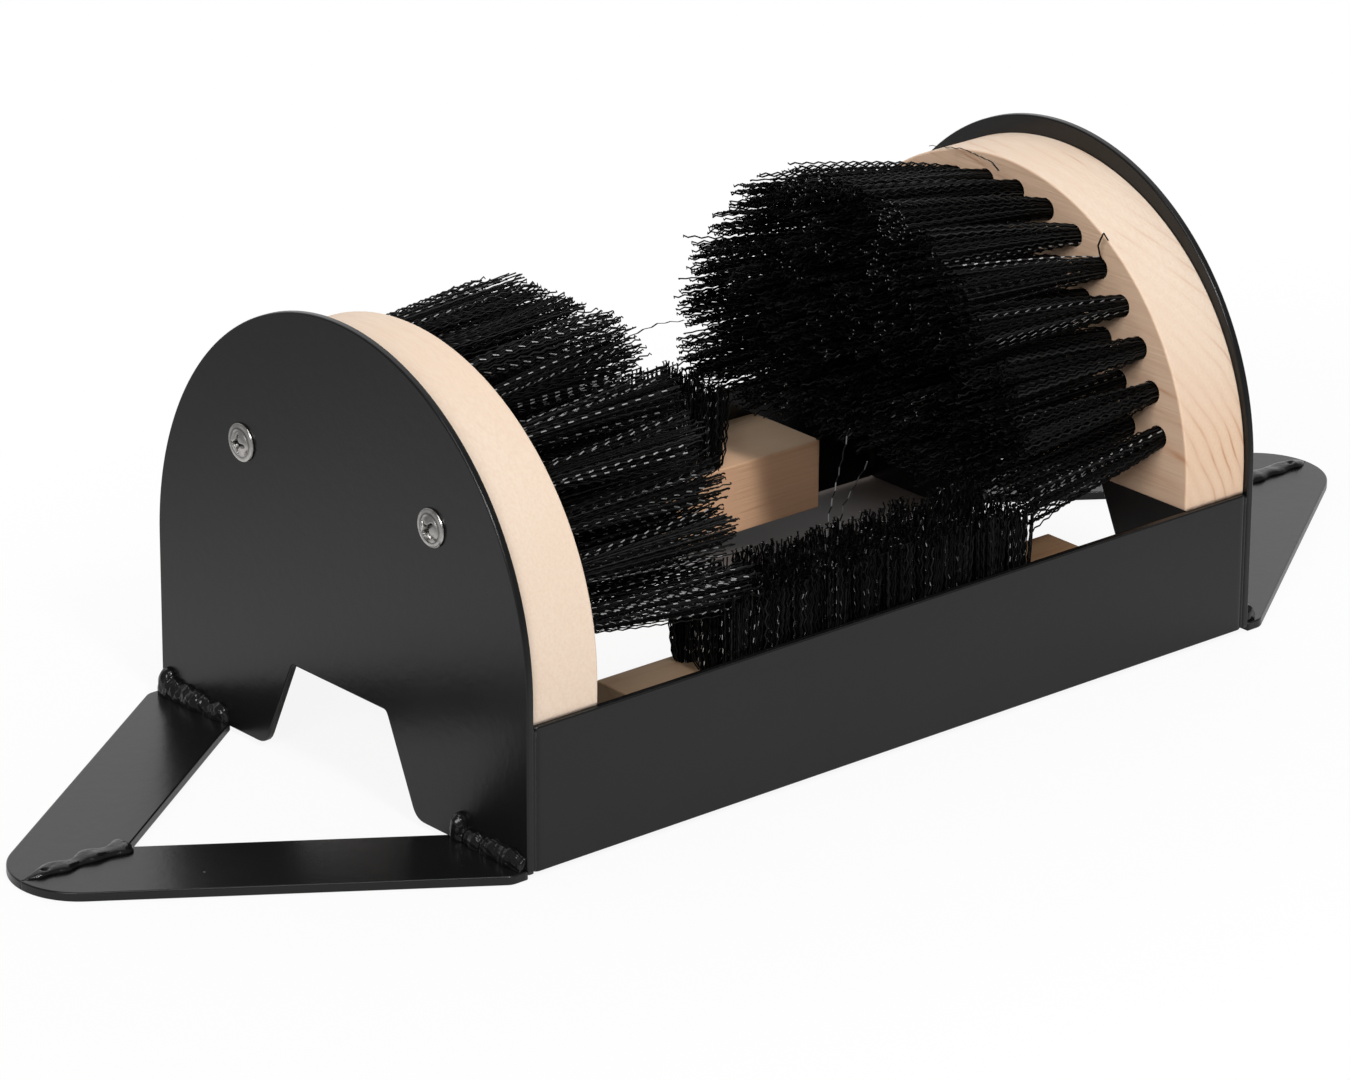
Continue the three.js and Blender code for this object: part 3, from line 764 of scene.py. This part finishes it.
for (corner, x, y), seed in zip(CORNERS, (90, 91, 100, 101)):
    make_piece(f"{corner}_rail_seam", rail_seam(seed), weld_coat, "weld",
               f"rail_weld_{corner}", (x, y, 1), flat=())

# %% [markdown]
# ## Wood
#
# The blocks and boards are drilled for their tufts. The places of the tufts are worked out
# once and used twice, for the holes and for the bristles: arched rows one inside the other
# on a block, and three straight rows on a board.

# %% Tuft places
BLOCK_FACE, BLOCK_HALF = 121.5, 88.2
SIDE_PITCH, TUFT_FLOOR = 14.0, 69.5
ROW_HALVES = (76.0, 62.3, 48.6, 34.9, 21.2)
ROW_RATIO = 1.04
BOARD_MIDDLE, BOARD_TOP, BOARD_BOTTOM = 71.0, 37.5, 13.5


def arched_row(half):
    """Tufts on the upper part of an ellipse, evenly in angle, down to the tuft floor."""
    rise = half * ROW_RATIO
    first = math.asin((TUFT_FLOOR - SPRING) / rise)
    steps = max(1, round(half * (math.pi - 2 * first) / SIDE_PITCH))
    return arc((0, SPRING), (half, rise), first, math.pi - first, steps)


def board_rows(first, last, count):
    """Three rows of tufts, 12 mm apart, from one X to another."""
    grid = np.meshgrid(np.linspace(first, last, count), (-12.0, 0.0, 12.0))
    return np.stack(grid, -1).reshape(-1, 2)


side_rows = [arched_row(half) for half in ROW_HALVES] + [np.array([[0.0, TUFT_FLOOR]])]
front_tufts = board_rows(-62, 52, 10)
rear_tufts = board_rows(-50, 50, 9)
print("tufts:", [len(row) for row in side_rows], len(front_tufts), len(rear_tufts))

# %% [markdown]
# The end of a block shows end grain and its top long grain, because the fibres run from
# front to rear. The boards have theirs along the rails. The block is drawn as the left one,
# whose drilled face looks towards +X.

# %% Blocks and boards
BLOCK_SOFT, BLOCK_HOLE = 0.7, 3.75
side_holes = np.concatenate(side_rows)
block_outline = joined(*arch(BLOCK_HALF, RAIL_TOP, BLOCK_HALF))
block = on_edge(slab(block_outline, -PLATE_IN, -BLOCK_FACE, BLOCK_SOFT, side_holes,
                     BLOCK_HOLE))
for (side, x), finish in zip(SIDES, (left_pine, right_pine)):
    make_piece(f"{side}_block", block, finish, "pine", f"side_block_{side}", (-x, 1, 1),
               flat=(1, 2, 4))

BOARD_HALF, BOARD_HALF_WIDTH, CUT = 94.0, 16.5, 0.7
BOARD_SOFT, BOARD_HOLE = 0.6, 3.5
quarter = math.pi / 2
board_outline = joined(*(
    arc((u * (BOARD_HALF - CUT), v * (BOARD_HALF_WIDTH - CUT)), CUT, i * quarter,
        (i + 1) * quarter, 4)
    for i, (u, v) in enumerate(((1, 1), (-1, 1), (-1, -1), (1, -1)))))
for (end, y), tufts, finish in zip(ENDS, (front_tufts, rear_tufts), (front_pine, rear_pine)):
    points, faces = slab(board_outline, BOARD_BOTTOM, BOARD_TOP, BOARD_SOFT, tufts,
                         BOARD_HOLE)
    make_piece(f"{end}_board", (points + [0, y * BOARD_MIDDLE, 0], faces), finish, "pine",
               f"board_{end}", flat=(1, 2, 4))

# %% [markdown]
# ## Bristles
#
# A tuft is a bundle of crimped strands, tight at the wood and open at the tips. The crimp
# is a zigzag in one plane per strand, and neighbours nearly keep step, because the strands
# were crimped as one hank. Three sides are enough for a strand, because its shading comes
# from the direction of its runs.

# %% Rods along paths
CRIMP = 4.7


def rods(path, radius, seed):
    """Three-sided rods along (n, rings, 3) paths: points, faces, and the direction of the
    straight run that each side face belongs to."""
    n, rings = path.shape[:2]
    rng = np.random.default_rng(seed)
    a = around(3) + rng.uniform(0, 2, (n, 1))
    ring = radius * np.stack([np.cos(a), np.sin(a), 0 * a], -1)
    points = (path[:, :, None] + ring[:, None]).reshape(-1, 3)
    step = np.diff(path, axis=1)
    size = np.linalg.norm(step, axis=2, keepdims=True)
    run = np.repeat((step / np.maximum(size, 1e-6)).reshape(-1, 3), 3, 0)
    first = (np.arange(n) * rings * 3)[:, None, None]
    groups = [(first + g).reshape(-1, g.shape[1]) for g in tube_faces(rings, 3)]
    return points, groups, run


print("half waves per centimetre:", round(20 / CRIMP, 1))

# %% [markdown]
# The path of a strand, at the share s of its length, is: its root, plus the way from root
# to tip times s to the power of an ease; plus a bow for the few that stray; plus the crimp.
# Roots lie on a sunflower spiral, which fills a disc evenly, and start a little way down in
# their holes.

# %% Strand function
SPIRAL = math.pi * (3 - math.sqrt(5))
ROOT_DEPTH = 1.6


def strands(tufts, seed, count, length, limits, radius, glinting, depth=0.38, root_radius=3.3,
            spread=2.3, fan=0.0, centre=(0.0, 0.0), droop=0.0, ease=0.8, ragged=0.05,
            restless=1.5, plane=(0.0, 3.0), unbroken=1.0, stray_share=0.01,
            stray_reach=6.0, wave=CRIMP):
    """The strands of some tufts that stand on w = 0, with u and v across: points, faces,
    attributes of the faces, and attributes of the points. Length and droop are per tuft;
    limits are the least and most (u, v), past which a tip folds back; plane is the mean
    and spread of the angles of the crimp planes; the share after the radius is that of
    strands with one of their three sides marked for a painted highlight, also per tuft;
    and unbroken the share of its runs that keep the mark."""
    rng = np.random.default_rng(seed)
    clusters = len(tufts)
    n = clusters * count
    own = np.repeat(np.arange(clusters), count)
    number = np.tile(np.arange(count), clusters)
    spin = rng.uniform(0, 2 * math.pi, clusters)[own]
    reach = root_radius * np.sqrt((number + 0.5) / count)
    angle = number * SPIRAL + spin
    offset = reach[:, None] * unit(angle)
    root = tufts[own] + offset

    sway = rng.normal(0, restless, (clusters, 2))[own]
    clump = rng.normal(0, 1.0, (clusters, 6, 2))[own, rng.integers(0, 6, n)]
    single = rng.normal(0, 0.7, (n, 2))
    tip = tufts[own] + (tufts[own] - centre) * fan + offset * spread + sway + clump + single
    tip[:, 1] -= (droop * np.ones(clusters))[own]
    low, high = limits
    tip = tip - 1.6 * np.clip(tip - high, 0, None) + 1.6 * np.clip(low - tip, 0, None)
    stray = rng.random(n) < stray_share
    bow = rng.normal(0, stray_reach, (n, 2)) * stray[:, None]

    full = (length * (1 - 0.03 * rng.random(clusters)))[own]
    long = full * (1 - ragged * rng.random(n) ** 1.5)
    half_wave = wave / 2
    rings = int(math.ceil(length.max() / half_wave)) + 2
    k = np.arange(rings)[None]
    phase = rng.random(clusters)[own] + rng.normal(0, 0.4, n)
    w = np.clip((k - 1 + np.clip(phase, 0, 1)[:, None]) * half_wave, 0, long[:, None])
    share = (w / long[:, None])[..., None]
    path = root[:, None] + (tip - root)[:, None] * share ** ease + bow[:, None] * share ** 2.2
    turn = plane[0] + (rng.normal(0, plane[1], clusters)[own] + rng.normal(0, 0.45, n))
    zigzag = np.where(k % 2 == 0, 1.0, -1.0) * depth * rng.uniform(0.75, 1.15, (n, 1))
    zigzag = zigzag * np.clip(share[..., 0] * 7, 0.2, 1)
    path = path + zigzag[..., None] * unit(turn)[:, None]
    path = np.clip(path, low - 0.6, high + 0.6)
    path = np.concatenate([path, (w - ROOT_DEPTH * (k == 0))[..., None]], 2)
    points, faces, run = rods(path, radius, seed)
    # Marks for the painted highlight: which strands, and which of their runs, are painted
    # pale.
    chance = (glinting * (0.6 + 0.8 * rng.random(clusters)))[own, None]
    pale = (rng.random((n, 1)) < chance) * (share[:, :-1, 0] < 0.9)
    pale = pale * (rng.random(pale.shape) < unbroken)
    on_faces = {"run": run, "glinting": (pale[..., None] * np.array([1, 0, 0])).ravel()}
    on_points = {"strand": np.repeat(rng.random(n), rings * 3),
                 "way": np.tile(np.repeat(np.arange(rings), 3), n)}
    return points, faces, on_faces, on_points


print("turn from root to root:", round(math.degrees(SPIRAL), 1), "degrees")

# %% [markdown]
# A side brush has more than three thousand strands, so each brush is made in four pieces
# of whole rows. The left one grows towards +X; the right one is the same, turned half round
# the vertical. On the left brush more strands carry painted highlights, most of all low
# down, and its upper tufts are shorter and lean out less. On the right one the painted
# highlights gather round one place. Each side has its direction, its lengths at the low
# end and at the top, its sag, the height its tips keep under, the middle of its fan, and
# its share of painted highlights, both in all and round that place.

# %% Side brushes
SIDE_COUNT, SIDE_LENGTH, TUFT_RISE = 66, 64.0, 60.0
groups_of_rows = {"outer": (0,), "second": (1,), "third": (2, 5), "inner": (3, 4)}
# The place round which the right brush's painted highlights gather, and their spread.
GLINT_PLACE, GLINT_AREA = np.array([51.0, 114.0]), 150.0
habits = {"left": dict(radius=0.26, fan=0.03, plane=(2.5, 0.7), spread=2.1,
                       stray_share=0.03),
          "right": dict(radius=0.31, fan=np.array([0.06, 0.15]), plane=(2.2, 0.5),
                        ragged=0.025)}
for side, sign, low_part, high_part, sag, top, middle, glinting, glint_spot in (
        ("left", 1, 1.07, 0.94, 4.0, 139.6, 0.0, 0.27, 0.0),
        ("right", -1, 1.0, 1.06, 4.5, 148.4, 40.0, 0.04, 0.55)):
    side_limits = np.array([(-88.0, 52.0), (88.0, top)])
    for number, (which, rows) in enumerate(groups_of_rows.items()):
        tufts = np.concatenate([side_rows[r] for r in rows])
        height = np.clip((tufts[:, 1] - TUFT_FLOOR) / TUFT_RISE, 0, 1)
        close = np.exp(-((tufts - GLINT_PLACE) ** 2).sum(1) / GLINT_AREA)
        points, faces, on_faces, on_points = strands(
            tufts, 340 + 10 * sign + number, SIDE_COUNT,
            SIDE_LENGTH * (low_part + (high_part - low_part) * height), side_limits,
            centre=(middle, TUFT_FLOOR), droop=sag * (1 - height) ** 3,
            # Share of strands marked for painted highlight: more low down, and round one place
            # on the right.
            glinting=glinting * (1.15 - 0.8 * height) + glint_spot * close, **habits[side])
        points, on_faces["run"] = (v[:, [2, 0, 1]] * [sign, sign, 1]
                                   for v in (points, on_faces["run"]))
        make_piece(f"{side}_brush_{which}_rows", (points - [sign * BLOCK_FACE, 0, 0], faces),
                   side_filament, "filament", f"side_bristles_{side}",
                   on_faces=on_faces, **on_points)

# %% [markdown]
# The boards carry stiffer strands with a shallower crimp, one piece for each row. Their ends
# are cut unevenly, and they open at once over the wood, so that a board looks full.

# %% Board brushes
BOARD_COUNT, BOARD_LENGTH = 96, 29.5
for (end, y), tufts, seed in zip(ENDS, (front_tufts, rear_tufts), (900, 910)):
    board_limits = np.array([(tufts[0, 0] - 8, -15.4), (tufts[-1, 0] + 5.5, 15.4)])
    for row, own_tufts in enumerate(tufts.reshape(3, -1, 2)):
        points, faces, on_faces, on_points = strands(
            own_tufts, seed + row, BOARD_COUNT,
            np.full(len(own_tufts), BOARD_LENGTH), board_limits, radius=0.3, depth=0.36,
            root_radius=3.2, spread=1.9, ease=0.35, ragged=0.3, restless=0.6, glinting=1.0,
            unbroken=0.75, stray_share=0.04, stray_reach=2.0, wave=4.4)
        make_piece(f"{end}_board_brush_row_{row + 1}",
                   (points + [0, y * BOARD_MIDDLE, BOARD_TOP], faces), board_filament,
                   "filament", f"board_bristles_{end}", on_faces=on_faces, **on_points)

# %% [markdown]
# A few strands have slipped half out of their tufts. Each is given by some points that it
# passes, and the crimp is laid over the line through them. With each brush's own node go
# the radius of its loose strands, and how many of their runs may get a painted highlight.

# %% Loose strands
def loose(stations, depth=0.4):
    """A crimped path through some stations: points every half wave along the way between
    them, moved to and fro across X and Z."""
    stations = np.array(stations, float)
    gaps = np.linalg.norm(np.diff(stations, axis=0), axis=1)
    reach = np.concatenate([[0], np.cumsum(gaps)])
    at = np.linspace(0, reach[-1], max(4, int(reach[-1] / (CRIMP / 2))))
    line = np.stack([np.interp(at, reach, stations[:, i]) for i in range(3)], 1)
    side = np.where(np.arange(len(at)) % 2 == 0, 1.0, -1.0)[:, None] * depth
    return line + side * np.array([0.6, 0, -0.6])


slipped = {
    "front_board": ("board_bristles_front", 0.26, 0.9,
                    [(-14, -66, 42), (-11, -66, 73), (-3, -66, 100)],
                    [(-9, -64, 42), (-5, -66, 75), (5, -66, 87)]),
    "left_brush": ("side_bristles_left", 0.4, 0.0,
                   [(-118, -24, 112), (-90, -28, 124), (-59, -31, 134), (-51, -33, 136),
                    (-42, -34, 135)]),
    "right_brush": ("side_bristles_right", 0.36, 0.0,
                    [(123, 36, 138), (121, 18, 142), (115, -2, 144), (112, -9, 143)],
                    [(123, -74, 69), (106, -74, 64), (91, -73, 59), (74, -72, 54)],
                    [(122, -48, 119), (119, -48, 125), (118, -49, 129), (119, -50, 132),
                     (121, -50, 129)]),
}
for place, (stands_for, radius, glinting, *lines) in slipped.items():
    for number, stations in enumerate(lines):
        points, faces, run = rods(loose(stations)[None], radius, number)
        runs = len(run) // 3
        # Painted highlight on some runs, as on the brushes.
        pale = np.repeat(glinting * np.random.default_rng(number).random(runs), 3)
        make_piece(f"loose_strand_{place}_{number + 1}", (points, faces), side_filament,
                   "filament", stands_for, on_faces={"run": run, "glinting": pale},
                   way=np.repeat(np.arange(runs + 1), 3))

# %% [markdown]
# ## Screws
#
# The plates are screwed to their blocks with flanged pan heads. A head is turned, so it is
# a profile carried round the axis; the cross recess is then pressed into its face by
# lowering every point that lies under one of the two arms.

# %% Screws
RECESS_DEPTH, ARM_LENGTH, ARM_HALF = 1.5, 3.2, 0.85


def screw(turned_by, sides=72):
    """A grid over radius and angle: the profile gives the height over the plate at each
    radius, and the recess is sunk where min(|a|, |b|), measured along the arms, is under
    half an arm's width. Also gives each point's share of painted shade, in the recess
    and in the groove round the head."""
    face = np.array([(0.02, 2.45), (0.3, 2.45), (0.6, 2.44), (0.85, 2.43), (1.1, 2.42),
                     (1.35, 2.4), (1.6, 2.37), (1.85, 2.33), (2.1, 2.29), (2.4, 2.22),
                     (2.7, 2.13), (3.0, 2.02), (3.4, 1.85), (3.8, 1.62), (4.15, 1.36),
                     (4.35, 1.18), (4.5, 1.1), (4.7, 1.08), (5.2, 1.02), (5.7, 0.94),
                     (5.95, 0.84), (6.1, 0.66), (6.15, 0.45), (6.1, 0.2), (5.95, 0.0),
                     (2.2, 0.0), (2.2, -18.5), (0.02, -22.0)])
    a = around(sides)
    r, h = face[:, :1], face[:, 1:]
    along = np.abs(r * np.cos(a + turned_by))
    across = np.abs(r * np.sin(a + turned_by))
    narrow = np.minimum(along, across)
    within = np.clip((ARM_HALF - 0.12 * r - narrow) / 0.2, 0, 1)
    arm = within * np.clip((ARM_LENGTH - r) / 0.5, 0, 1)
    centre = np.clip((1.4 - r) / 0.25, 0, 1)
    sunk = np.maximum(arm, centre) * (h > 1.5)
    sunk_h = h - RECESS_DEPTH * sunk
    points = grid_points(r * np.cos(a), r * np.sin(a), sunk_h)
    # Painted shade: a dark ring in the groove between head and flange.
    groove = np.exp(-((r - 4.55) / 0.22) ** 2) * (h > 0.9) + 0 * a
    groups = inside_out(tube_faces(len(face), sides))
    return points, groups, np.maximum(0.9 * sunk, 0.8 * groove)


SCREW_Y, SCREW_Z = 46.0, 98.5
for corner, x, y in CORNERS:
    points, faces, sunk = screw(0.5 + 0.9 * x + 0.4 * y)
    placed = np.stack([x * (PLATE_OUT + points[:, 2]), x * points[:, 0] + y * SCREW_Y,
                       points[:, 1] + SCREW_Z], 1)
    make_piece(f"{corner}_screw", (placed, faces), nickel, "nickel", f"side_screw_{corner}",
               sunk=sunk)

# %% [markdown]
# The brackets and screws under the boards keep their CAD shape, and get finishes here.

# %% Finishes of the CAD nodes
kept = {"bracket": coat, "board_screw": zinc}
for name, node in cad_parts.items():
    for stem, finish in kept.items():
        if name.startswith(stem):
            node.data.materials.clear()
            node.data.materials.append(finish)
print("kept nodes:", sum(not node.hide_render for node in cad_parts.values()))

# %% [markdown]
# ## Floor, sky and lamps
#
# The floor is a large pale sheet that takes the object's shadow. Further out it fades to
# plain white for the camera, so that no horizon shows.

# %% Stage
# Painted shadow: the dark colour, and the place round which it is painted on the floor.
SHADE, SHADE_PLACE = (0.18, 0.15, 0.135, 1), (0.115, 0.08, 0)


def floor_finish():
    """Pale, and for the camera mixed with plain white, the more the further out. Inside
    the frame, under the right brush, a dark shade between the boards is painted on, and a
    faint painted light lifts its left part for the camera."""
    f = Finish("pale_floor")
    point = f.place()
    far = f.vector("LENGTH", f.place((0.55, 1.0, 1.0)))
    deep = f.vector("DISTANCE", point, SHADE_PLACE)
    seen = f.add("LightPath", output="Is Camera Ray")
    apart, rearward, _ = f.axes(point)
    outside = apart.step(0.1514, 0.1524).math("MAXIMUM", rearward.step(0.0918, 0.0928))
    bare = outside.math("MAXIMUM", deep.step(0.055, 0.084))
    paint = f.mix(far.step(0.12, 0.42), grey(0.86), grey(0.4))
    plain = f.add("BsdfDiffuse", {}, {"Color": f.mix(bare, SHADE, paint)})
    white = f.add("Emission", {}, {"Color": grey(1.0), "Strength": 1.0})
    open_part = (0.9 + 0.1 * far.step(0.1, 0.3)) * bare
    # Painted light: a faint white lift for the camera over the left of the painted shade.
    lift = seen * open_part.math("MAXIMUM", 0.035 * (1 - apart.step(0.11, 0.145)))
    mixed = f.add("MixShader", {}, {0: lift, 1: plain, 2: white})
    f.add("OutputMaterial", {}, {"Surface": mixed})
    return f.owner


floor_mesh = bpy.data.meshes.new("floor")
floor_mesh.from_pydata([(-8, -8, 0), (8, -8, 0), (8, 8, 0), (-8, 8, 0)], [], [(0, 1, 2, 3)])
floor_mesh.materials.append(floor_finish())
floor = add_object("floor", floor_mesh)
floor.location.z = -0.0002
print("floor:", floor_mesh.materials[0].name)

# %% [markdown]
# The room is white behind the object, which is what its flat tops mirror, and dark above
# and at the sides, which is what leaves its rims black. The camera itself sees plain white.
# A small lamp from the front models the brushes, and two wide ones fill.

# %% Room and lamps
room = Finish("studio", world=True)
outward = room.add("TexCoord", output="Generated")
behind = room.vector("DOT_PRODUCT", outward, (0.62, 0.72, 0.3))
direct = room.add("LightPath", output="Is Camera Ray")
glow = 0.24 + 0.76 * behind.step(0.35, 0.85)
strength = glow.math("MAXIMUM", direct)
background = room.add("Background", {}, {"Color": grey(1.0), "Strength": strength})
room.add("OutputWorld", {}, {"Surface": background})
bpy.context.scene.world = room.owner


def sun(name, source, strength, width):
    """A distant lamp in the direction of its source, with a disc some degrees wide."""
    lamp = bpy.data.lights.new(name, "SUN")
    lamp.energy = strength
    lamp.angle = math.radians(width)
    holder = add_object(name, lamp)
    holder.rotation_mode = "QUATERNION"
    holder.rotation_quaternion = Vector(source).to_track_quat("Z", "Y")


sun("front", (-0.15, -0.72, 0.66), 1.15, 9)
sun("left", (-0.75, -0.45, 0.5), 1.2, 26)
sun("top", (-0.12, -0.35, 0.92), 0.5, 22)
bpy.context.scene.view_settings.view_transform = "Standard"
print("stage ready")
